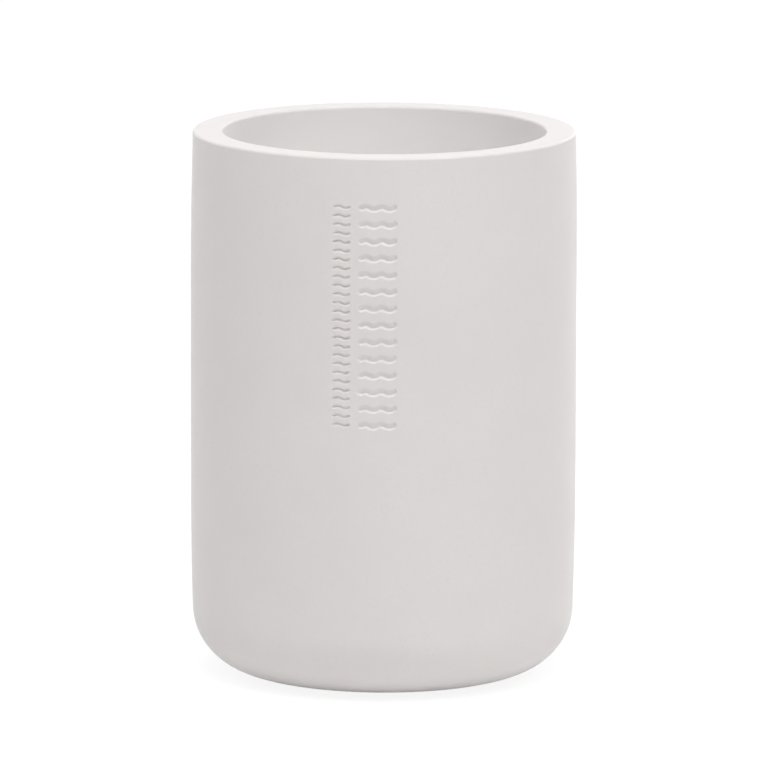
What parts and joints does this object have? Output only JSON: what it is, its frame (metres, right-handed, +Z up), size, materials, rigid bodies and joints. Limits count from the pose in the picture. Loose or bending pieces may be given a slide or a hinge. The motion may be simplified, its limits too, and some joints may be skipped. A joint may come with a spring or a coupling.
{
  "type": "bathroom tumbler",
  "caption": "Straight-sided matte cast-resin tumbler with a thick flat rim, a rounded heel, a sunken wave relief on its front and a foam foot pad recessed in its underside.",
  "frame": {"origin": "middle of the foot pad's underside, on the surface that the tumbler stands on", "axes": "+Z up along the cup's axis, towards the rim; -Y towards the front, where the relief is; +X to the right as the front is seen"},
  "size_m": [0.075, 0.075, 0.1065],
  "materials": {
    "cast_resin": "matte off-white, faintly mottled cast polyresin",
    "adhesive_film": "satin pressure-sensitive adhesive on a clear film",
    "eva_foam": "fine closed-cell EVA foam with a matte cut surface"
  },
  "bodies": {
    "root": {"cup_body": "cast_resin", "pad_adhesive": "adhesive_film", "foot_pad": "eva_foam"}
  },
  "joints": []
}
